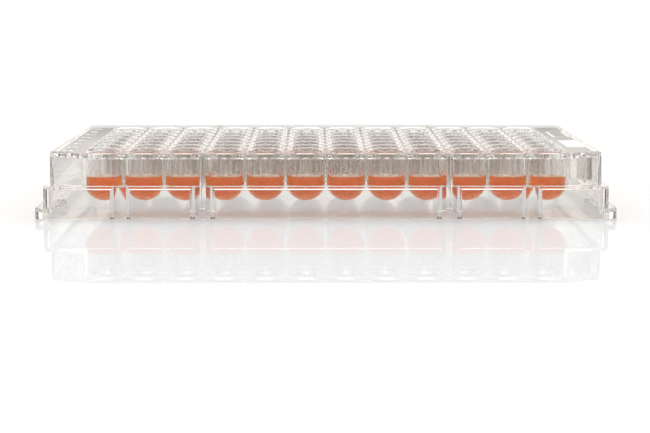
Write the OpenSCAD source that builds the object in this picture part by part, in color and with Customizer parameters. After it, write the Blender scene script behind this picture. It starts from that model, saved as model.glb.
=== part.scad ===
// 96-place round-bottom well plate: one clear moulding with a deck, 12 x 8
// hanging wells, an upper wall for a lid, a ledge, a lower skirt and a short
// base flange at each end. The twelve wells of the front row hold a sample.
// Frame: origin at the centre of the footprint on the resting plane, +X along
// the columns (1 to 12), -Y towards row H (the front), +Z up. Millimetres.

/* [Footprint] */
// Length over the two end flanges
foot_l = 127.76; // [126.6:0.02:128.4]
// Width over the lower skirt
foot_w = 85.48; // [85:0.02:86]
// Total height, resting plane to well rims
plate_h = 14.35; // [14:0.05:15]
// Corner radius of the end flanges
foot_r = 3.18; // [2.6:0.02:3.6]
// Height of the end flanges
flange_h = 2.41; // [2.2:0.01:3]

/* [Skirt and wall] */
// Length of the lower skirt above the flanges
skirt_l = 123.8; // [123.2:0.1:124.4]
// Corner radius of the lower skirt
skirt_r = 2; // [1.6:0.1:2.6]
// Height of the top of the ledge that carries a lid
ledge_z = 7.2; // [6.9:0.05:7.5]
// Thickness of the ledge
ledge_t = 0.7; // [0.6:0.05:0.9]
// Length of the upper wall
wall_l = 122.0; // [121.6:0.1:122.4]
// Width of the upper wall
wall_w = 82.9; // [82.6:0.05:83.1]
// Corner radius of the upper wall at the back
wall_r = 1.8; // [1.6:0.1:2.4]
// Thickness of the skirt and of the wall
wall_t = 1.15; // [1:0.05:1.25]
// Length along X of the cut at each front corner of the upper wall
cut_x = 7.8; // [7.5:0.1:9]
// Depth along Y of the cut at each front corner of the upper wall
cut_y = 5.4; // [4.8:0.1:5.8]

/* [Deck] */
// Thickness of the deck
deck_t = 1; // [0.9:0.05:1.2]
// Height of the well rims and of the border above the deck
rim_h = 0.3; // [0.2:0.05:0.4]
// Width of the raised border round the deck
border_w = 1.1; // [0.9:0.05:1.3]
// Depth of the two label panels at the right of the deck
panel_d = 0.15; // [0.1:0.05:0.2]

/* [Wells] */
// Distance between neighbouring wells
pitch = 9; // [9:0.01:9.02]
// Inner radius of a well
well_r = 3.4; // [3.3:0.05:3.45]
// Outer radius of a well's tube
tube_r = 4.4; // [4.35:0.01:4.45]
// Outer radius of a well's rim
rim_r = 4.05; // [3.9:0.05:4.1]
// Lowest point of a well's outside
well_z = 3.0; // [2.9:0.05:3.3]
// Thickness of the webs that join neighbouring tubes
web_t = 2.4; // [1.6:0.1:2.8]
// Lowest point of those webs
web_z = 7.2; // [7.1:0.1:7.6]
// Height of the sample's surface
fill_z = 8.45; // [7.8:0.05:9.5]

/* [Ribs and bosses] */
// Thickness of the full-height ribs
rib_t = 1.3; // [1:0.05:1.5]
// Lowest point of the ribs
rib_z = 1.4; // [1.2:0.1:2]
// Distance of the ribs from the middle
rib_x = 27; // [27:0.1:27.2]
// Distance of the outer skirt bosses from the middle
boss_x = 45; // [44.8:0.1:45.2]
// Radius of the outer skirt bosses
boss_r = 2.2; // [2:0.05:2.4]
// Radius of the skirt bosses at the ribs
rib_boss_r = 2.7; // [2.4:0.05:2.8]
// Distance of the boss axes behind the outer face of the skirt
boss_in = 1.15; // [0:0.05:1.2]
// Place along Y of the low foot in each end flange
end_foot_y = -18; // [-18.2:0.1:-17.8]
// Height of those feet
end_foot_h = 1.7; // [1.6:0.05:2.2]
// Radius of the round post under the deck near the corner of well H12
post_r = 1.75; // [1.5:0.05:1.8]
// Lowest point of that post
post_z = 6.4; // [6:0.1:7]

/* [Hidden] */
$fn = 64;
COLS = 12;
ROWS = 8;
e = 0.5;
deck_z = plate_h - rim_h;         // top of the deck
under_z = deck_z - deck_t;        // underside of the deck
ball_z = well_z + tube_r;         // centre of the round bottoms
flange_wall = 1.3;                // thickness of a flange's outer wall
flange_top = 1;                   // thickness of a flange's top
function col_x(c) = (c - (COLS - 1) / 2) * pitch;
function row_y(r) = ((ROWS - 1) / 2 - r) * pitch;   // row A is r = 0

// Rectangle with four round corners, centred
module round_rect(l, w, r) {
  square([l - 2 * r, w], center = true);
  square([l, w - 2 * r], center = true);
  for (x = [-1, 1], y = [-1, 1])
    translate([x * (l / 2 - r), y * (w / 2 - r)]) circle(r);
}

// Outline of the upper wall, inset by d: round corners at the back, long
// slanting cuts at the front
module wall_outline(d = 0) {
  a = wall_l / 2 - d;
  b = wall_w / 2 - d;
  // a slanting face set back by d meets the straight faces this much sooner
  k = d * (sqrt(cut_x * cut_x + cut_y * cut_y) - cut_x) / cut_y;
  m = d * (sqrt(cut_x * cut_x + cut_y * cut_y) - cut_y) / cut_x;
  difference() {
    round_rect(2 * a, 2 * b, max(wall_r - d, 0.6));
    for (s = [-1, 1])
      polygon([[s * (a + e), -b - e], [s * (a + e), -b + cut_y - m],
               [s * a, -b + cut_y - m], [s * (a - cut_x + k), -b],
               [s * (a - cut_x + k), -b - e]]);
  }
}

// Everything outside the wells: deck, border, upper wall, ledge, skirt, flanges
module shell() {
  difference() {
    union() {
      translate([0, 0, ledge_z - ledge_t])
        linear_extrude(plate_h - ledge_z + ledge_t) wall_outline();
      linear_extrude(ledge_z) round_rect(skirt_l, foot_w, skirt_r);
      linear_extrude(flange_h) round_rect(foot_l, foot_w, foot_r);
    }
    // the deck lies a little below its border
    translate([0, 0, deck_z]) linear_extrude(rim_h + e) wall_outline(border_w);
    // room inside the upper wall, under the deck
    translate([0, 0, -e]) linear_extrude(under_z + e) wall_outline(wall_t);
    // room inside the lower skirt, under the ledge
    translate([0, 0, -e]) linear_extrude(ledge_z - ledge_t + e)
      round_rect(skirt_l - 2 * wall_t, foot_w - 2 * wall_t, skirt_r - wall_t + 0.3);
    // room inside the flanges
    translate([0, 0, -e]) linear_extrude(flange_h - flange_top + e)
      round_rect(foot_l - 2 * flange_wall, foot_w - 2 * wall_t, foot_r - flange_wall);
  }
}

// Round posts standing half in the skirt's long sides
module bosses() {
  h = ledge_z - ledge_t / 2;
  intersection() {
    union() {
      for (s = [-1, 1], t = [-1, 1]) {
        translate([t * boss_x, s * (foot_w / 2 - boss_in), 0]) cylinder(r = boss_r, h = h);
        translate([t * rib_x, s * (foot_w / 2 - boss_in), 0]) cylinder(r = rib_boss_r, h = h);
      }
    }
    translate([0, 0, -e]) linear_extrude(ledge_z + e) round_rect(skirt_l, foot_w, skirt_r);
  }
}

// A low round foot in the channel of each end flange
module end_feet() {
  for (s = [-1, 1])
    translate([s * (skirt_l / 2 - 0.7), end_foot_y, 0]) cylinder(r = 1.6, h = end_foot_h);
}

// A short round post under the deck, beside the corner well H12
module post() {
  translate([57, -33, post_z + post_r]) {
    cylinder(r = post_r, h = under_z + deck_t / 2 - post_z - post_r);
    sphere(r = post_r);
  }
}

// Full-height ribs from the wall to the outer rows
module ribs() {
  y0 = row_y(7) - 2.6;
  for (s = [-1, 1], x = [-rib_x, rib_x])
    translate([x - rib_t / 2, s > 0 ? -y0 : -foot_w / 2 + 0.6, rib_z])
      cube([rib_t, foot_w / 2 - 0.6 + y0, deck_z - rib_z - deck_t / 2]);
}

// Webs between neighbouring tubes, along the rows and along the columns
module webs() {
  h = under_z + deck_t / 2 - web_z;
  for (r = [0 : ROWS - 1])
    translate([col_x(0), row_y(r) - web_t / 2, web_z]) cube([(COLS - 1) * pitch, web_t, h]);
  for (c = [0 : COLS - 1])
    translate([col_x(c) - web_t / 2, row_y(ROWS - 1), web_z]) cube([web_t, (ROWS - 1) * pitch, h]);
}

// Solid form of one well's tube, from its round bottom to the deck
module tube_form() {
  rotate_extrude()
    intersection() {
      union() {
        translate([0, ball_z]) circle(tube_r);
        translate([0, ball_z]) square([tube_r, under_z + deck_t / 2 - ball_z]);
      }
      square([tube_r + 1, plate_h]);
    }
}

// The space inside one well
module well_space() {
  translate([0, 0, ball_z]) cylinder(r = well_r, h = plate_h - ball_z + e);
  translate([0, 0, ball_z]) sphere(r = well_r);
}

// Shallow panels for a label and a mark at the right of the deck
module panels() {
  translate([55.2, -21.8, deck_z - panel_d]) cube([4.4, 20.6, 1]);
  difference() {
    translate([55.2, 6.8, deck_z - panel_d]) cube([4.4, 17.8, 1]);
    translate([55.9, 7.9, deck_z - 1]) cube([3, 15.6, 1]);
  }
}

module plate() {
  color([0.86, 0.86, 0.84])
  difference() {
    union() {
      difference() {
        shell();
        panels();
      }
      bosses();
      end_feet();
      post();
      ribs();
      webs();
      for (c = [0 : COLS - 1], r = [0 : ROWS - 1])
        translate([col_x(c), row_y(r), 0]) {
          tube_form();
          translate([0, 0, deck_z - 0.3]) cylinder(r = rim_r, h = rim_h + 0.3);
        }
    }
    for (c = [0 : COLS - 1], r = [0 : ROWS - 1])
      translate([col_x(c), row_y(r), 0]) well_space();
  }
}

// The sample in one well of row H: column 1 to 12
module sample(c) {
  color([0.78, 0.4, 0.24])
    translate([col_x(c - 1), row_y(7), 0])
      intersection() {
        well_space();
        translate([-5, -5, 0]) cube([10, 10, fill_z]);
      }
}

plate();
sample(1);  // sample_h1
sample(2);  // sample_h2
sample(3);  // sample_h3
sample(4);  // sample_h4
sample(5);  // sample_h5
sample(6);  // sample_h6
sample(7);  // sample_h7
sample(8);  // sample_h8
sample(9);  // sample_h9
sample(10);  // sample_h10
sample(11);  // sample_h11
sample(12);  // sample_h12
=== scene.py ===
import math

import bmesh
import bpy
import numpy as np
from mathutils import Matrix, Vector


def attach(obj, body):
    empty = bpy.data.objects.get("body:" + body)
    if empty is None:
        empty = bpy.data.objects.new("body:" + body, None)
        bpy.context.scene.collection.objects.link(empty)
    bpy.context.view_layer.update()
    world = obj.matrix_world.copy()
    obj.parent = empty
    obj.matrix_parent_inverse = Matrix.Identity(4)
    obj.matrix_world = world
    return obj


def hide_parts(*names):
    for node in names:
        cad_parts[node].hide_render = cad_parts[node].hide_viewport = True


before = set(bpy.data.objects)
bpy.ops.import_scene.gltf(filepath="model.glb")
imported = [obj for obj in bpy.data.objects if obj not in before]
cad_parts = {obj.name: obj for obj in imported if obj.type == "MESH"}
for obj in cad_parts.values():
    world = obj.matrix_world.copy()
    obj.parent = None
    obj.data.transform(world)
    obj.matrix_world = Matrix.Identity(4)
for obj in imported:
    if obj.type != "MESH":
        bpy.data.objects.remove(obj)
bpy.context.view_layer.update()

SC = bpy.context.scene
MM = 0.001

# ---------------------------------------------------------------- sizes, mm
FX, FY, H = 63.88, 42.74, 14.35          # half footprint and height
SX = 61.9                                 # half length of the lower skirt
WX, WY = 61.0, 41.45                      # half size of the upper wall
CUTX, CUTY = 7.8, 5.4                     # cut front corners of the wall
LEDGE, WEB = 7.2, 0.7                     # top and thickness of the ledge
T = 1.15                                  # wall thickness
DECK, DECKT = 14.05, 1.0                  # top and thickness of the deck
UNDER = DECK - DECKT
PITCH, RI, RO, RIM = 9.0, 3.4, 4.4, 4.05
BALL = 7.4                                # centre height of the round bottoms
WEBZ, WEBR = 7.2, 0.45                    # foot of the webs between tubes, and their fillets
SEGF, SEGB = 44, 26                       # facets round a well: front row, other rows
FLANGE = 2.41
FILL, MEN = 8.05, 0.4                    # sample level and meniscus rise
COLS = [(c - 5.5) * PITCH for c in range(12)]
ROWS = [(3.5 - r) * PITCH for r in range(8)]   # A at the back to H at the front
YH = ROWS[7]

CAM_W, FRONT_W, BACK_W, TOP_W = 0.2, 0.5, 1.84, 0.5
FAR_W, STRIP_W, STRIP_LOW = 1.2, 0.72, 0.5                # the backdrop near the floor line, and just above it

M_PS, M_WET, M_FROST, M_BULB, M_OUT, M_IN = range(6)   # material slots of the plate


# -------------------------------------------------------------- materials
def material(name):
    m = bpy.data.materials.new(name)
    m.use_nodes = True
    return m, m.node_tree, m.node_tree.nodes["Principled BSDF"], m.node_tree.nodes["Material Output"]


PS_BASE = (0.884, 0.877, 0.868, 1)
PS_GLOSS = (0.62, 0.5, 0.38, 1)           # how strongly the faces mirror what they meet square on


def wavy(nt, b, scale, depth, detail=2.0):
    """Faint moulding waviness: a noise bump, depth in mm."""
    tc = nt.nodes.new("ShaderNodeTexCoord")
    no = nt.nodes.new("ShaderNodeTexNoise")
    no.inputs["Scale"].default_value = scale
    no.inputs["Detail"].default_value = detail
    bu = nt.nodes.new("ShaderNodeBump")
    bu.inputs["Strength"].default_value = 1.0
    bu.inputs["Distance"].default_value = depth * MM
    nt.links.new(tc.outputs["Object"], no.inputs["Vector"])
    nt.links.new(no.outputs["Fac"], bu.inputs["Height"])
    nt.links.new(bu.outputs["Normal"], b.inputs["Normal"])
    return tc, no


def streaks(nt, b, base, spread=0.02):
    """Flow marks of the moulding: the tint wanders a little over the part."""
    tc = nt.nodes.new("ShaderNodeTexCoord")
    mp = nt.nodes.new("ShaderNodeMapping")
    mp.inputs["Scale"].default_value = (900.0, 300.0, 150.0)
    no = nt.nodes.new("ShaderNodeTexNoise")
    no.inputs["Scale"].default_value = 1.0
    no.inputs["Detail"].default_value = 3.0
    mx = nt.nodes.new("ShaderNodeMix")
    mx.data_type = "RGBA"
    mx.inputs["A"].default_value = tuple(max(c - spread, 0.0) for c in base[:3]) + (1,)
    mx.inputs["B"].default_value = tuple(min(c + spread, 1.0) for c in base[:3]) + (1,)
    nt.links.new(tc.outputs["Object"], mp.inputs["Vector"])
    nt.links.new(mp.outputs[0], no.inputs["Vector"])
    nt.links.new(no.outputs["Fac"], mx.inputs["Factor"])
    nt.links.new(mx.outputs["Result"], b.inputs["Base Color"])
    return tc, mx


def painted_shade(nt, b, tc, mx, zones):
    """Painted shade: zones of the part made darker in its colour; each is a colour and the (axis, from, to) ramps that
    bound it, in mm.
    """
    sep = nt.nodes.new("ShaderNodeSeparateXYZ")
    nt.links.new(tc.outputs["Object"], sep.inputs[0])
    last = mx.outputs["Result"]
    for colour, ramps in zones:
        fac = None
        for axis, a, z in ramps:
            r = nt.nodes.new("ShaderNodeMapRange")
            r.interpolation_type = "SMOOTHSTEP"
            flip = a > z
            r.inputs["From Min"].default_value, r.inputs["From Max"].default_value = min(a, z) * MM, max(a, z) * MM
            r.inputs["To Min"].default_value, r.inputs["To Max"].default_value = (1.0, 0.0) if flip else (0.0, 1.0)
            nt.links.new(sep.outputs[axis], r.inputs["Value"])
            if fac is None:
                fac = r.outputs[0]
            else:
                mu = nt.nodes.new("ShaderNodeMath")
                mu.operation = "MULTIPLY"
                nt.links.new(fac, mu.inputs[0])
                nt.links.new(r.outputs[0], mu.inputs[1])
                fac = mu.outputs[0]
        mm = nt.nodes.new("ShaderNodeMix")
        mm.data_type = "RGBA"
        mm.blend_type = "MULTIPLY"
        mm.inputs["B"].default_value = colour
        nt.links.new(fac, mm.inputs["Factor"])
        nt.links.new(last, mm.inputs["A"])
        last = mm.outputs["Result"]
    nt.links.new(last, b.inputs["Base Color"])


def clear_plastic(name, ior, base=PS_BASE, wave=None, zones=()):
    m, nt, b, out = material(name)
    b.inputs["Base Color"].default_value = base
    tc, mx = streaks(nt, b, base)
    if zones:
        painted_shade(nt, b, tc, mx, zones)
    b.inputs["Roughness"].default_value = 0.0
    b.inputs["IOR"].default_value = ior
    b.inputs["Specular Tint"].default_value = PS_GLOSS
    b.inputs["Transmission Weight"].default_value = 1.0
    if wave:
        wavy(nt, b, *wave)
    return m


# painted shade: the right end below the deck, the left end's skirt and, a little, its upper wall are darker, and the
# deck top is darker towards the back with a faint green cast
ENDS_SHADE = (0.955, 0.948, 0.935, 1)
ps = clear_plastic("clear_polystyrene", 1.59, zones=(
    (ENDS_SHADE, (("X", 44, 50), ("Z", 13.6, 13.2))),
    (ENDS_SHADE, (("X", -44, -50), ("Z", 7.6, 7.0))),
    ((0.985, 0.98, 0.972, 1), (("X", -44, -50), ("Z", 7.0, 7.6), ("Z", 13.6, 13.2))),
    ((0.86, 0.868, 0.85, 1), (("Y", -15, 34), ("Z", 13.4, 13.8))),
))
wet = clear_plastic("wetted_well_wall", 1.59 / 1.333, (1, 1, 1, 1))
# painted shade and light: lit and shaded copies of the one polystyrene; the back rows' round bottoms and the webs get
# a darker tint, while the tube sides, the front row's bottoms and the well insides get lighter ones
bulb = clear_plastic("well_bottom_outside_painted_shade", 1.59, (0.87, 0.86, 0.85, 1))
outer = clear_plastic("tube_outside_painted_light", 1.59, (0.93, 0.916, 0.903, 1))
inner = clear_plastic("well_inside_painted_light", 1.59, (0.966, 0.958, 0.951, 1))
frost, nt, b, out = material("frosted_label_field")
b.inputs["Base Color"].default_value = (0.93, 0.93, 0.915, 1)
b.inputs["IOR"].default_value = 1.59
b.inputs["Transmission Weight"].default_value = 0.2
tc, no = wavy(nt, b, 9000.0, 0.03, 4.0)
mr = nt.nodes.new("ShaderNodeMapRange")
mr.inputs["To Min"].default_value, mr.inputs["To Max"].default_value = 0.55, 0.85
nt.links.new(no.outputs["Fac"], mr.inputs["Value"])
nt.links.new(mr.outputs[0], b.inputs["Roughness"])
PLATE_MATS = (ps, wet, frost, bulb, outer, inner)

LIQ = (1.0, 0.64, 0.25, 1)
DENS = 900.0
SCAT, SCATD = (1.0, 0.76, 0.35, 1), 220.0  # the liquid is slightly cloudy


def liquid_volume(nt, out):
    va = nt.nodes.new("ShaderNodeVolumeAbsorption")
    va.inputs["Color"].default_value = LIQ
    va.inputs["Density"].default_value = DENS
    vs = nt.nodes.new("ShaderNodeVolumeScatter")
    vs.inputs["Color"].default_value = SCAT
    vs.inputs["Density"].default_value = SCATD
    vs.inputs["Anisotropy"].default_value = 0.2
    ad = nt.nodes.new("ShaderNodeAddShader")
    nt.links.new(va.outputs[0], ad.inputs[0])
    nt.links.new(vs.outputs[0], ad.inputs[1])
    nt.links.new(ad.outputs[0], out.inputs["Volume"])


# one material for the whole of a sample, because its volume must begin and end with the same material: a clear surface
# on top, and below nothing but the change of medium (made by the wetted wall) and a paler film that is painted light
liq, nt, b, out = material("sample_liquid")
b.inputs["Base Color"].default_value = (1, 1, 1, 1)
b.inputs["Roughness"].default_value = 0.0
b.inputs["IOR"].default_value = 1.333
b.inputs["Transmission Weight"].default_value = 1.0
wavy(nt, b, 300.0, 0.01)
tb = nt.nodes.new("ShaderNodeBsdfTransparent")
# painted light: a thin, grainy, paler diffuse film on the round bottom, strongest low down, standing in for the
# brightness the bottom takes from below
df = nt.nodes.new("ShaderNodeBsdfDiffuse")
df.inputs["Color"].default_value = (1.0, 0.66, 0.52, 1)
tc = nt.nodes.new("ShaderNodeTexCoord")
sz = nt.nodes.new("ShaderNodeSeparateXYZ")
low = nt.nodes.new("ShaderNodeMapRange")
low.interpolation_type = "SMOOTHSTEP"
low.inputs["From Min"].default_value, low.inputs["From Max"].default_value = 3.9 * MM, 6.9 * MM
low.inputs["To Min"].default_value, low.inputs["To Max"].default_value = 0.42, 0.0
no = nt.nodes.new("ShaderNodeTexNoise")
no.inputs["Scale"].default_value = 2600.0
no.inputs["Detail"].default_value = 3.0
gr = nt.nodes.new("ShaderNodeMapRange")
gr.inputs["From Min"].default_value, gr.inputs["From Max"].default_value = 0.3, 0.7
gr.inputs["To Min"].default_value, gr.inputs["To Max"].default_value = 0.35, 1.2
fm = nt.nodes.new("ShaderNodeMath")
fm.operation = "MULTIPLY"
mx = nt.nodes.new("ShaderNodeMixShader")
nt.links.new(tc.outputs["Object"], sz.inputs[0])
nt.links.new(tc.outputs["Object"], no.inputs["Vector"])
nt.links.new(sz.outputs["Z"], low.inputs["Value"])
nt.links.new(no.outputs["Fac"], gr.inputs["Value"])
nt.links.new(low.outputs[0], fm.inputs[0])
nt.links.new(gr.outputs[0], fm.inputs[1])
nt.links.new(fm.outputs[0], mx.inputs["Fac"])
nt.links.new(tb.outputs[0], mx.inputs[1])
nt.links.new(df.outputs[0], mx.inputs[2])
at = nt.nodes.new("ShaderNodeAttribute")
at.attribute_name = "top"
my = nt.nodes.new("ShaderNodeMixShader")
nt.links.new(at.outputs["Fac"], my.inputs["Fac"])
nt.links.new(mx.outputs[0], my.inputs[1])
nt.links.new(b.outputs[0], my.inputs[2])
nt.links.new(my.outputs[0], out.inputs["Surface"])
liquid_volume(nt, out)

# ------------------------------------------------------------- mesh helpers
def new_obj(name, bm, mats=None):
    me = bpy.data.meshes.new(name)
    bmesh.ops.recalc_face_normals(bm, faces=bm.faces)
    bm.to_mesh(me)
    bm.free()
    for m in (PLATE_MATS if mats is None else mats):
        me.materials.append(m)
    ob = bpy.data.objects.new(name, me)
    SC.collection.objects.link(ob)
    return ob


def rounded(corners, seg):
    """Points round a convex outline given as [(x, y, radius)], counter-clockwise."""
    out = []
    n = len(corners)
    for i, (x, y, r) in enumerate(corners):
        p = Vector((x, y))
        a = Vector(corners[i - 1][:2]) - p
        b = Vector(corners[(i + 1) % n][:2]) - p
        a.normalize()
        b.normalize()
        half = a.angle(b) / 2
        if r < 1e-4:
            out += [p.copy() for _ in range(seg + 1)]
            continue
        d = r / math.tan(half)
        mid = (a + b).normalized()
        c = p + mid * (r / math.sin(half))
        s, e = p + a * d, p + b * d
        a0 = math.atan2(s.y - c.y, s.x - c.x)
        a1 = math.atan2(e.y - c.y, e.x - c.x)
        while a1 < a0:
            a1 += 2 * math.pi
        for k in range(seg + 1):
            t = a0 + (a1 - a0) * k / seg
            out.append(Vector((c.x + r * math.cos(t), c.y + r * math.sin(t))))
    return out


def wall_ring(d, z, seg=8, r_front=0.7, r_side=2.0, r_back=1.8):
    """The upper wall's outline set in by d: long cuts at the front corners."""
    a, b = WX - d, WY - d
    L = math.hypot(CUTX, CUTY)
    k, m = d * (L - CUTX) / CUTY, d * (L - CUTY) / CUTX
    rf, rs, rb = (max(r - d, 0.25) for r in (r_front, r_side, r_back))
    pts = rounded([(a, b, rb), (-a, b, rb), (-a, -b + CUTY - m, rs), (-a + CUTX - k, -b, rf),
                   (a - CUTX + k, -b, rf), (a, -b + CUTY - m, rs)], seg)
    return [(p.x, p.y, z) for p in pts]


def rect_ring(hx, hy, r, z, seg=8):
    return [(p.x, p.y, z) for p in rounded([(hx, hy, r), (-hx, hy, r), (-hx, -hy, r), (hx, -hy, r)], seg)]


def loft(name, rings, mat=0):
    """A closed solid through rings of points, capped at both ends."""
    bm = bmesh.new()
    vs = [[bm.verts.new((x * MM, y * MM, z * MM)) for x, y, z in ring] for ring in rings]
    n = len(rings[0])
    for lo, hi in zip(vs, vs[1:]):
        for i in range(n):
            bm.faces.new((lo[i], lo[(i + 1) % n], hi[(i + 1) % n], hi[i]))
    bm.faces.new(list(reversed(vs[0])))
    bm.faces.new(vs[-1])
    for f in bm.faces:
        f.material_index = mat
    return new_obj(name, bm)


def revolve(bm, prof, cx, cy, seg, mats=None):
    """Adds a solid of revolution about a vertical axis. prof runs (r, z) from pole to pole."""
    bot = bm.verts.new((cx * MM, cy * MM, prof[0][1] * MM))
    top = bm.verts.new((cx * MM, cy * MM, prof[-1][1] * MM))
    rings = []
    for r, z in prof[1:-1]:
        rings.append([bm.verts.new(((cx + r * math.cos(2 * math.pi * j / seg)) * MM,
                                    (cy + r * math.sin(2 * math.pi * j / seg)) * MM, z * MM)) for j in range(seg)])
    for j in range(seg):
        f = bm.faces.new((bot, rings[0][(j + 1) % seg], rings[0][j]))
        f.material_index = mats[0] if mats else 0
    for a in range(len(rings) - 1):
        for j in range(seg):
            f = bm.faces.new((rings[a][j], rings[a][(j + 1) % seg], rings[a + 1][(j + 1) % seg], rings[a + 1][j]))
            f.material_index = mats[a + 1] if mats else 0
    for j in range(seg):
        f = bm.faces.new((rings[-1][j], rings[-1][(j + 1) % seg], top))
        f.material_index = mats[-1] if mats else 0


def arc(cx, cz, r, a0, a1, n):
    """Profile points on a circle, angles in degrees from +r towards +z."""
    return [(cx + r * math.cos(math.radians(a0 + (a1 - a0) * k / n)),
             cz + r * math.sin(math.radians(a0 + (a1 - a0) * k / n))) for k in range(n + 1)]


def boolean(target, tool, op):
    m = target.modifiers.new("b", "BOOLEAN")
    m.operation = op
    m.object = tool
    m.solver = "MANIFOLD"
    dg = bpy.context.evaluated_depsgraph_get()
    me = bpy.data.meshes.new_from_object(target.evaluated_get(dg))
    target.modifiers.clear()
    old = target.data
    target.data = me
    bpy.data.meshes.remove(old)
    bpy.data.objects.remove(tool)


# ------------------------------------------------------------ the moulding
def edge_out(f, d0, z0, r, up=True, n=4):
    """Rings that round an outer edge: f(inset, z), ending flat at z0."""
    s = 1 if up else -1
    pts = [(r * (1 - math.cos(t)), -s * r * (1 - math.sin(t))) for t in
           [math.pi / 2 * k / n for k in range(n + 1)]]
    rings = [f(d0 + a, z0 + b) for a, b in pts]
    return rings if up else list(reversed(rings))


def build_shell():
    draft = 0.12
    # upper wall with a rounded top edge and a small fillet on the ledge
    rings = [wall_ring(-draft - 0.2, LEDGE - 0.5), wall_ring(-draft - 0.2, LEDGE - 0.02),
             wall_ring(-draft - 0.1, LEDGE + 0.04), wall_ring(-draft - 0.03, LEDGE + 0.1),
             wall_ring(-draft, LEDGE + 0.22)]
    rings += edge_out(lambda d, z: wall_ring(d, z), 0.0, H, 0.22)
    shell = loft("clear_plate", rings)
    # lower skirt
    f = lambda d, z: rect_ring(SX - d, FY - d, 2.0 - d, z)
    rings = edge_out(f, 0.0, 0.0, 0.12, up=False, n=3) + edge_out(f, 0.0, LEDGE, 0.1)
    boolean(shell, loft("t", rings), "UNION")
    # end flanges
    f = lambda d, z: rect_ring(FX - d, FY - d, 3.18 - d, z)
    rings = edge_out(f, 0.0, 0.0, 0.12, up=False, n=3) + edge_out(f, 0.0, FLANGE, 0.25)
    boolean(shell, loft("t", rings), "UNION")
    # the deck lies below its border
    rings = [wall_ring(1.1 + 0.1, DECK), wall_ring(1.1, DECK + 0.1), wall_ring(1.1 - 0.02, H - 0.06),
             wall_ring(1.1 - 0.08, H), wall_ring(1.1 - 0.08, H + 1)]
    boolean(shell, loft("t", rings), "DIFFERENCE")
    # room inside the upper wall, rounded under the deck and at the ledge
    w = lambda d, z: wall_ring(T + d, z)
    rings = [w(-0.35, -1), w(-0.35, LEDGE - WEB - 0.001)]
    rings += [w(-0.2 + 0.2 * math.sin(t), LEDGE - WEB + 0.2 * (1 - math.cos(t))) for t in
              [math.pi / 2 * k / 4 for k in range(5)]]
    rings += [w(0.0 + 0.04 * (1 - math.cos(t)), UNDER - 0.04 + 0.04 * math.sin(t)) for t in
              [math.pi / 2 * k / 4 for k in range(5)]]
    boolean(shell, loft("t", rings), "DIFFERENCE")
    # room inside the lower skirt
    f = lambda d, z: rect_ring(SX - T - d, FY - T - d, 1.2, z)
    rings = [f(-0.12, -1), f(-0.12, 0.0)] + [f(-0.12 * (1 - math.sin(t)), 0.12 * (1 - math.cos(t))) for t in
             [math.pi / 2 * k / 3 for k in range(1, 4)]]
    rings += [f(0.2 * (1 - math.cos(t)), LEDGE - WEB - 0.2 + 0.2 * math.sin(t)) for t in
              [math.pi / 2 * k / 4 for k in range(5)]]
    boolean(shell, loft("t", rings), "DIFFERENCE")
    # room inside the flanges
    f = lambda d, z: rect_ring(FX - 1.3 - d, FY - T - d, 1.9, z)
    rings = [f(-0.12, -1), f(-0.12, 0.0), f(-0.03, 0.04), f(0, 0.12), f(0, FLANGE - 1.15),
             f(0.04, FLANGE - 1.04), f(0.15, FLANGE - 1.0)]
    boolean(shell, loft("t", rings), "DIFFERENCE")
    return shell


def cyl(name, r, x, y, z0, z1, seg=40, edge=0.0):
    bm = bmesh.new()
    prof = [(0, z0)]
    if edge:
        prof += [(r - edge, z0), (r - edge * 0.3, z0 + edge * 0.3), (r, z0 + edge)]
    else:
        prof += [(r, z0)]
    prof += [(r, z1), (0, z1)]
    revolve(bm, prof, x, y, seg)
    return new_obj(name, bm)


def box(name, lo, hi, r=0.12, mat=0):
    """A block with rounded upright edges."""
    cx, cy = (lo[0] + hi[0]) / 2, (lo[1] + hi[1]) / 2
    hx, hy = (hi[0] - lo[0]) / 2, (hi[1] - lo[1]) / 2
    g = lambda d, z: [(p[0] + cx, p[1] + cy, z) for p in rect_ring(hx - d, hy - d, max(r - d, 0.02), z, 3)]
    if mat:                     # a tool for a shallow cut: square at the bottom
        return loft(name, [g(0, lo[2]), g(0, hi[2])], mat)
    return loft(name, [g(r * 0.6, lo[2]), g(0, lo[2] + r * 0.6), g(0, hi[2])])


BOSSES = {-45: ("disc", 2.2, 1.15), -27: ("disc", 2.7, 1.15), 27: ("disc", 2.7, 1.15), 45: ("disc", 2.2, 1.15)}


def boss(shell, x, s, how):
    """A post behind the skirt's long side. s is -1 for the front and 1 for the back."""
    kind, a, b = how
    if kind == "none":
        return
    lo, hi = (-FY + 0.3, -FY + 9) if s < 0 else (FY - 9, FY - 0.3)
    if kind == "disc":          # round post of radius a, centred b behind the outer face
        c = cyl("t", a, x, s * (FY - b), 0.0, LEDGE - 0.35, 64)
        half = box("t2", (x - 5, lo, -1), (x + 5, hi, 9), 0.02)
        boolean(c, half, "INTERSECT")
        boolean(shell, c, "UNION")
    if kind == "pair":          # two upright ribs a thick, 3.2 apart, reaching b behind the inner face
        for d in (-1.6, 1.6):
            y0, y1 = (-FY + 0.6, -FY + T + b) if s < 0 else (FY - T - b, FY - 0.6)
            boolean(shell, box("t", (x + d - a / 2, y0, 0), (x + d + a / 2, y1, LEDGE - 0.5), 0.3), "UNION")


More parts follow.
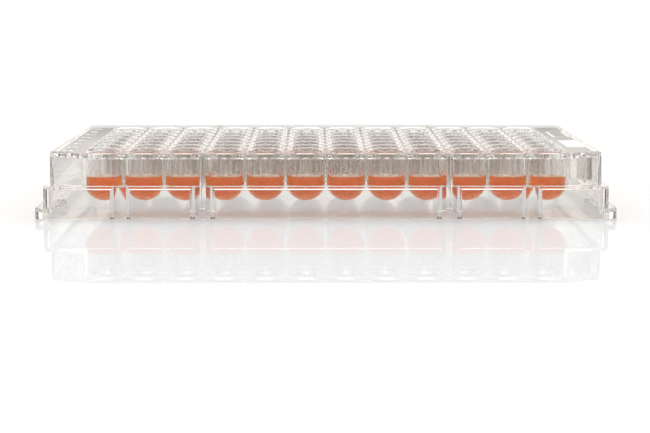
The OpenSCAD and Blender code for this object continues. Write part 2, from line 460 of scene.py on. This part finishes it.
def build_plate():
    shell = build_shell()
    # bosses and ribs
    for s in (-1, 1):
        for x in (-45, -27, 27, 45):
            boss(shell, x, s, BOSSES[x])
        for x in (-27, 27):
            lo, hi = (-FY + 0.6, YH + 2.6) if s < 0 else (-YH - 2.6, FY - 0.6)
            boolean(shell, box("t", (x - 0.65, lo, 1.4), (x + 0.65, hi, DECK - 0.5)), "UNION")
        boolean(shell, cyl("t", 1.6, s * 61.2, -18, 0.0, 1.7, 32), "UNION")
    bm = bmesh.new()
    revolve(bm, [(0, 6.4)] + arc(0, 8.15, 1.75, -90, 0, 8)[1:] + [(1.75, DECK - 0.5), (0, DECK - 0.5)], 57, -33, 40)
    boolean(shell, new_obj("t", bm), "UNION")
    # webs that join neighbouring tubes, with round fillets to the tubes
    bm = bmesh.new()
    for y in ROWS:
        for x in COLS[:-1]:
            web(bm, x + PITCH / 2, y, False)
    boolean(shell, new_obj("t", bm), "UNION")
    bm = bmesh.new()
    for y in ROWS[:-1]:
        for x in COLS:
            web(bm, x, y - PITCH / 2, True)
    boolean(shell, new_obj("t", bm), "UNION")
    # shallow frosted fields for a label and a mark on the deck's right border
    boolean(shell, box("t", (55.2, -21.8, DECK - 0.15), (59.6, -1.2, H + 1), 0.3, mat=M_FROST), "DIFFERENCE")
    frame_cut = box("t", (55.2, 6.8, DECK - 0.15), (59.6, 24.6, H + 1), 0.3, mat=M_FROST)
    boolean(frame_cut, box("t2", (55.9, 7.9, DECK - 1), (58.9, 23.5, H + 2), 0.2, mat=M_FROST), "DIFFERENCE")
    boolean(shell, frame_cut, "DIFFERENCE")
    # wells: outsides
    groups = {}
    for ri, y in enumerate(ROWS):
        for ci, x in enumerate(COLS):
            groups.setdefault(((ri + ci) % 2, ri == 7), []).append((x, y))
    for (g, front), places in sorted(groups.items()):
        seg, n = (SEGF, 11) if front else (SEGB, 6)
        prof = [(0, BALL - RO)] + arc(0, BALL, RO, -90, 0, n)[1:]
        # the front row's rims stand steep, the others run out in a wide fillet
        if front:
            prof += [(RO, UNDER + 0.2), (RIM + 0.14, DECK - 0.2), (RIM + 0.14, DECK - 0.01), (RIM + 0.03, DECK + 0.04)]
            prof += [(RIM - 0.2 + 0.2 * math.cos(t), H - 0.2 + 0.2 * math.sin(t)) for t in
                     [math.pi / 2 * k / 3 for k in range(4)]]
        else:
            prof += [(RO, UNDER + 0.2), (RIM + 0.42, DECK - 0.2), (RIM + 0.42, DECK - 0.012), (RIM + 0.31, DECK + 0.012),
                     (RIM + 0.2, DECK + 0.05), (RIM + 0.11, DECK + 0.11), (RIM + 0.03, DECK + 0.19),
                     (RIM - 0.05, DECK + 0.26), (RIM - 0.15, DECK + 0.293), (RIM - 0.2, H)]
        prof += [(0, H)]
        mats = [M_OUT] * (len(prof) - 1)
        # painted shade: the back rows' round bottoms take the darker tint, the front row's the lighter tube tint
        for i in range(n + 1):
            mats[i] = M_OUT if front else M_BULB
        for i in range(n + 2, len(mats)):
            mats[i] = M_PS
        bm = bmesh.new()
        for x, y in places:
            revolve(bm, prof, x, y, seg, mats)
        boolean(shell, new_obj("t", bm), "UNION")
    # wells: insides
    for front in (False, True):
        seg, n = (SEGF, 11) if front else (SEGB, 6)
        prof = [(0, BALL - RI)] + arc(0, BALL, RI, -90, 0, n)[1:]
        wet = len(prof)
        if front:
            prof += [(RI, FILL + MEN)]
        q = 0.25
        prof += [(RI + q - q * math.cos(t), H - q + q * math.sin(t)) for t in
                 [math.pi / 2 * k / 3 for k in range(3)]]
        prof += [(RI + q, H + 0.002), (RI + q, H + 1), (0, H + 1)]
        mats = [M_IN] * (len(prof) - 1)
        if front:
            for i in range(wet):
                mats[i] = M_WET
        bm = bmesh.new()
        for y in (ROWS[:7] if not front else ROWS[7:]):
            for x in COLS:
                revolve(bm, prof, x, y, seg, mats)
        boolean(shell, new_obj("t", bm), "DIFFERENCE")
    return shell


def web(bm, cx, cy, turned):
    """A web between two tubes: straight up, hollow-sided where it runs into them."""
    half = PITCH / 2
    yc = math.sqrt((RO + WEBR) ** 2 - half ** 2)
    a = math.atan2(yc, half)
    tx, ty = RO * math.cos(a) - half, RO * math.sin(a)       # tangent point, from the web's middle
    n = 5
    out = [(tx - 0.3, ty - 0.25), (tx - 0.02, ty - 0.02)]
    for k in range(1, n):
        t = math.pi + a + (math.pi - 2 * a) * k / n
        out.append((-WEBR * math.cos(t - math.pi) * 1.0, yc + WEBR * math.sin(t)))
    out += [(-tx + 0.02, ty - 0.02), (-tx + 0.3, ty - 0.25)]
    ring = out + [(-x, -y) for x, y in out]
    vs = []
    for k, z in ((0.72, WEBZ - 0.12), (0.92, WEBZ - 0.04), (1.0, WEBZ + 0.14), (1.0, UNDER + 0.3)):
        row = []
        for x, y in ring:
            x, y = x, y * k
            if turned:
                x, y = -y, x
            row.append(bm.verts.new(((cx + x) * MM, (cy + y) * MM, z * MM)))
        vs.append(row)
    m = len(ring)
    for lo, hi in zip(vs, vs[1:]):
        for i in range(m):
            bm.faces.new((lo[i], lo[(i + 1) % m], hi[(i + 1) % m], hi[i]))
    bm.faces.new(list(reversed(vs[0])))
    bm.faces.new(vs[-1])
    # painted shade: the webs take the darker round-bottom tint
    for f in bm.faces:
        f.material_index = M_BULB


def smooth_normals(ob):
    """Exact normals on the wells, flat ones on flat faces, smoothed ones on the small radii."""
    me = ob.data
    for p in me.polygons:
        p.use_smooth = True
    me.set_sharp_from_angle(angle=math.radians(32))
    n = len(me.polygons)
    loops = len(me.loops)
    cn = np.empty(loops * 3, np.float32)
    me.corner_normals.foreach_get("vector", cn)
    cn = cn.reshape(-1, 3).astype(float)
    co = np.empty(len(me.vertices) * 3, np.float32)
    me.vertices.foreach_get("co", co)
    co = co.reshape(-1, 3).astype(float) / MM
    lv = np.empty(loops, np.int32)
    me.loops.foreach_get("vertex_index", lv)
    ls = np.empty(n, np.int32)
    lt = np.empty(n, np.int32)
    me.polygons.foreach_get("loop_start", ls)
    me.polygons.foreach_get("loop_total", lt)
    fn = np.empty(n * 3, np.float32)
    me.polygons.foreach_get("normal", fn)
    fn = fn.reshape(-1, 3).astype(float)
    ar = np.empty(n, np.float32)
    me.polygons.foreach_get("area", ar)
    face = np.repeat(np.arange(n), lt)
    P = co[lv]
    # nearest well axis of each corner
    ax = np.clip(np.round(P[:, 0] / PITCH + 5.5), 0, 11)
    ax = (ax - 5.5) * PITCH
    ay = np.clip(np.round(P[:, 1] / PITCH + 3.5), 0, 7)
    ay = (ay - 3.5) * PITCH
    dx, dy, dz = P[:, 0] - ax, P[:, 1] - ay, P[:, 2] - BALL
    r = np.hypot(dx, dy)
    s = np.sqrt(dx * dx + dy * dy + dz * dz)
    for R, sign in ((RI, -1.0), (RO, 1.0)):
        on = np.where(dz <= 1e-3, np.abs(s - R) < 2e-3, np.abs(r - R) < 2e-3)
        # every corner of the face must be on the surface
        bad = np.zeros(n, bool)
        np.logical_or.at(bad, face, ~on)
        flat = np.abs(fn[:, 2]) > 0.999
        pole = np.zeros(n, bool)
        np.logical_or.at(pole, face, r < 0.5 * R)
        ok = ~bad & ~(flat & ~pole)
        sel = ok[face]
        v = np.stack([dx, dy, np.where(dz < 0, dz, 0)], 1)
        v /= np.maximum(np.linalg.norm(v, axis=1, keepdims=True), 1e-9)
        cn[sel] = sign * v[sel]
    # flat faces keep their own normal
    big = (np.abs(fn).max(1) > 0.9985) & (ar > 0)
    wellface = np.zeros(n, bool)
    near = (np.abs(r - RI) < 2e-3) | (np.abs(r - RO) < 2e-3) | (np.abs(s - RI) < 2e-3) | (np.abs(s - RO) < 2e-3)
    allnear = np.ones(n, bool)
    np.logical_and.at(allnear, face, near)
    flatf = big & ~(allnear & (np.abs(fn[:, 2]) < 0.999)) & ~allnear
    sel = flatf[face]
    cn[sel] = fn[face[sel]]
    me.normals_split_custom_set([tuple(v) for v in cn])
    return int(sel.sum())


plate = build_plate()
smooth_normals(plate)


def sample(cx, cy):
    """One well's liquid: round below, with a meniscus that climbs the wall."""
    bm = bmesh.new()
    seg = 56
    prof = [(0, BALL - RI - 0.004)] + arc(0, BALL, RI + 0.004, -90, 0, 12)[1:]
    mats = [1] * len(prof)
    prof.append((RI + 0.004, FILL + MEN))
    for k in range(1, 13):
        r = RI * (1 - (k / 12) ** 0.8)
        prof.append((r, FILL + MEN * math.exp(-(RI - r) / 0.75)))
    mats += [0] * (len(prof) - 1 - len(mats))
    revolve(bm, prof, cx, cy, seg, mats)
    top = bm.faces.layers.float.new("top")
    for f in bm.faces:
        f[top] = 1.0 - f.material_index
        f.material_index = 0
        f.smooth = True
    return bm


samples = []
for i, x in enumerate(COLS):
    o = new_obj(f"liquid_h{i + 1}", sample(x, YH), (liq,))
    o.data.set_sharp_from_angle(angle=math.radians(60))
    samples.append(o)


# ------------------------------------------- row letters on the left border
# the letters' shapes are real; their white colour is a painted highlight for the glints on clear raised letters
marks, nt, b, out = material("raised_mark_painted_highlight")
b.inputs["Base Color"].default_value = (0.95, 0.95, 0.94, 1)
b.inputs["IOR"].default_value = 1.5
tc, no = wavy(nt, b, 7000.0, 0.02, 3.0)
mr = nt.nodes.new("ShaderNodeMapRange")
mr.inputs["To Min"].default_value, mr.inputs["To Max"].default_value = 0.4, 0.7
nt.links.new(no.outputs["Fac"], mr.inputs["Value"])
nt.links.new(mr.outputs[0], b.inputs["Roughness"])
bm = bmesh.new()
for ch, y in zip("ABCDEFGH", ROWS):
    fc = bpy.data.curves.new("letter", "FONT")
    fc.body = ch
    fc.size = 3.3 * MM
    fc.align_x, fc.align_y = "CENTER", "CENTER"
    fc.extrude = 0.03 * MM
    fc.offset = 0.08 * MM
    fc.resolution_u = 3
    fo = bpy.data.objects.new("letter", fc)
    SC.collection.objects.link(fo)
    fo.location = (-57.6 * MM, y * MM, (DECK + 0.034) * MM)
    dg = bpy.context.evaluated_depsgraph_get()
    me = bpy.data.meshes.new_from_object(fo.evaluated_get(dg))
    me.transform(fo.matrix_world)
    bm.from_mesh(me)
    bpy.data.meshes.remove(me)
    bpy.data.objects.remove(fo)
    bpy.data.curves.remove(fc)
bmesh.ops.remove_doubles(bm, verts=bm.verts, dist=1e-7)    # join each letter's faces and sides
letters = new_obj("row_letters", bm, (marks,))

# ------------------------------------------------------------------ riding
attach(plate, "root")
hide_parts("plate")
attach(letters, "root")
for i, o in enumerate(samples):
    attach(o, "root")
    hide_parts(f"sample_h{i + 1}")

# ----------------------------------------------------------- floor, camera
bpy.ops.mesh.primitive_plane_add(size=6.0, location=(0, 0, -0.00003))
floor = bpy.context.object
floor.name = "floor"
mf, nt, b, out = material("floor")
b.inputs["Roughness"].default_value = 0.0
b.inputs["IOR"].default_value = 1.072
# glossy, and darker in colour as painted shade, as far as the plate's reflection reaches in front of it; dull white
# beyond
tc = nt.nodes.new("ShaderNodeTexCoord")
sf = nt.nodes.new("ShaderNodeSeparateXYZ")
near = nt.nodes.new("ShaderNodeMapRange")
near.interpolation_type = "SMOOTHSTEP"
near.inputs["From Min"].default_value, near.inputs["From Max"].default_value = -0.152, -0.136
near.inputs["To Min"].default_value, near.inputs["To Max"].default_value = 0.0, 1.0
wide = nt.nodes.new("ShaderNodeMapRange")          # and no wider than the plate there
wide.interpolation_type = "SMOOTHSTEP"
wide.inputs["From Min"].default_value, wide.inputs["From Max"].default_value = 0.054, 0.064
wide.inputs["To Min"].default_value, wide.inputs["To Max"].default_value = 0.0, 1.0
back = nt.nodes.new("ShaderNodeMapRange")
back.interpolation_type = "SMOOTHSTEP"
back.inputs["From Min"].default_value, back.inputs["From Max"].default_value = -0.106, -0.09
back.inputs["To Min"].default_value, back.inputs["To Max"].default_value = 1.0, 0.0
ax = nt.nodes.new("ShaderNodeMath")
ax.operation = "ABSOLUTE"
wb = nt.nodes.new("ShaderNodeMath")
wb.operation = "MULTIPLY"
iw = nt.nodes.new("ShaderNodeMath")
iw.operation = "SUBTRACT"
iw.inputs[0].default_value = 1.0
ng = nt.nodes.new("ShaderNodeMath")
ng.operation = "MULTIPLY"
gl = nt.nodes.new("ShaderNodeMath")
gl.operation = "MULTIPLY"
gl.inputs[1].default_value = 0.5
# painted shade: the floor's colour is darker wherever it is glossy, that is under, beside and behind the plate and in
# a strip the plate's width further in front
fc = nt.nodes.new("ShaderNodeMix")
fc.data_type = "RGBA"
fc.inputs["A"].default_value = (0.93, 0.965, 0.99, 1)
fc.inputs["B"].default_value = (0.785, 0.83, 0.873, 1)
nt.links.new(tc.outputs["Object"], sf.inputs[0])
nt.links.new(sf.outputs["Y"], near.inputs["Value"])
nt.links.new(sf.outputs["Y"], back.inputs["Value"])
nt.links.new(sf.outputs["X"], ax.inputs[0])
nt.links.new(ax.outputs[0], wide.inputs["Value"])
nt.links.new(wide.outputs[0], wb.inputs[0])
nt.links.new(back.outputs[0], wb.inputs[1])
nt.links.new(wb.outputs[0], iw.inputs[1])
nt.links.new(near.outputs[0], ng.inputs[0])
nt.links.new(iw.outputs[0], ng.inputs[1])
nt.links.new(ng.outputs[0], gl.inputs[0])
nt.links.new(ng.outputs[0], fc.inputs["Factor"])
nt.links.new(gl.outputs[0], b.inputs["Specular IOR Level"])
nt.links.new(fc.outputs["Result"], b.inputs["Base Color"])
floor.data.materials.append(mf)

cam = bpy.data.cameras.new("camera")
co = bpy.data.objects.new("camera", cam)
SC.collection.objects.link(co)
cam.sensor_width = 36
cam.lens = 1977.57 / 650 * 36
cam.clip_start = 0.01
co.location = (-0.002386, -0.47125, 0.05252)
yaw = math.atan((325 - 315.13) / 1977.57)
pitch = math.atan((216.5 + 22.82) / 1977.57)
d = Vector((math.sin(yaw) * math.cos(pitch), math.cos(yaw) * math.cos(pitch), -math.sin(pitch)))
co.rotation_euler = d.to_track_quat("-Z", "Y").to_euler()
SC.camera = co

w = bpy.data.worlds.new("studio")
SC.world = w
w.use_nodes = True
nt = w.node_tree
bg = nt.nodes["Background"]
bg.inputs["Color"].default_value = (1.0, 0.957, 0.915, 1)
tc = nt.nodes.new("ShaderNodeTexCoord")
sep = nt.nodes.new("ShaderNodeSeparateXYZ")
nt.links.new(tc.outputs["Generated"], sep.inputs[0])


def ramp(src, pts):
    n = nt.nodes.new("ShaderNodeMapRange")
    n.inputs["From Min"].default_value, n.inputs["From Max"].default_value = pts[0]
    n.inputs["To Min"].default_value, n.inputs["To Max"].default_value = pts[1]
    n.interpolation_type = "SMOOTHSTEP"
    nt.links.new(src, n.inputs["Value"])
    return n.outputs[0]


def mul(a, b):
    n = nt.nodes.new("ShaderNodeMath")
    n.operation = "MULTIPLY"
    for i, v in enumerate((a, b)):
        if isinstance(v, float):
            n.inputs[i].default_value = v
        else:
            nt.links.new(v, n.inputs[i])
    return n.outputs[0]


def add(a, b):
    n = nt.nodes.new("ShaderNodeMath")
    n.operation = "ADD"
    for i, v in enumerate((a, b)):
        if isinstance(v, float):
            n.inputs[i].default_value = v
        else:
            nt.links.new(v, n.inputs[i])
    return n.outputs[0]


# a white sweep behind with a dimmer strip low down, a big soft light overhead,
# and a darker room in front, darkest where the camera stands
def sin_deg(a):
    return math.sin(math.radians(a))


back = ramp(sep.outputs["Y"], ((-0.25, 0.5), (0.0, 1.0)))
off = nt.nodes.new("ShaderNodeMath")
off.operation = "ABSOLUTE"
nt.links.new(add(sep.outputs["X"], -0.005), off.inputs[0])
low_z = nt.nodes.new("ShaderNodeMath")
low_z.operation = "MINIMUM"
nt.links.new(sep.outputs["Z"], low_z.inputs[0])
low_z.inputs[1].default_value = 0.0873
inside = ramp(add(off.outputs[0], mul(low_z.outputs[0], -1.63)), ((-0.006, -0.003), (1.0, 0.0)))
outside = add(mul(inside, -1.0), 1.0)
dip = mul(add(ramp(sep.outputs["Z"], ((sin_deg(4.2), sin_deg(4.3)), (0.0, STRIP_LOW - FAR_W))),
              ramp(sep.outputs["Z"], ((sin_deg(4.3), sin_deg(4.85)), (0.0, STRIP_W - STRIP_LOW)))), inside)
rise = ramp(sep.outputs["Z"], ((sin_deg(5.1), sin_deg(6.2)), (0.0, 1.0)))
rise_out = ramp(sep.outputs["Z"], ((sin_deg(9.0), sin_deg(14.0)), (0.0, 1.0)))
gain = add(mul(mul(inside, BACK_W - STRIP_W), rise), mul(mul(outside, BACK_W - FAR_W), rise_out))
strip = add(add(dip, gain), FAR_W - FRONT_W)
front = ramp(sep.outputs["Y"], ((-0.97, -0.78), (CAM_W, FRONT_W)))
top = ramp(sep.outputs["Z"], ((0.6, 0.9), (0.0, TOP_W)))
nt.links.new(add(add(mul(back, strip), front), top), bg.inputs["Strength"])

SC.view_settings.view_transform = "Standard"
cyc = SC.cycles
cyc.max_bounces = 40
cyc.transmission_bounces = 40
cyc.glossy_bounces = 24
cyc.diffuse_bounces = 4
cyc.volume_bounces = 6
cyc.transparent_max_bounces = 40
cyc.blur_glossy = 0.0
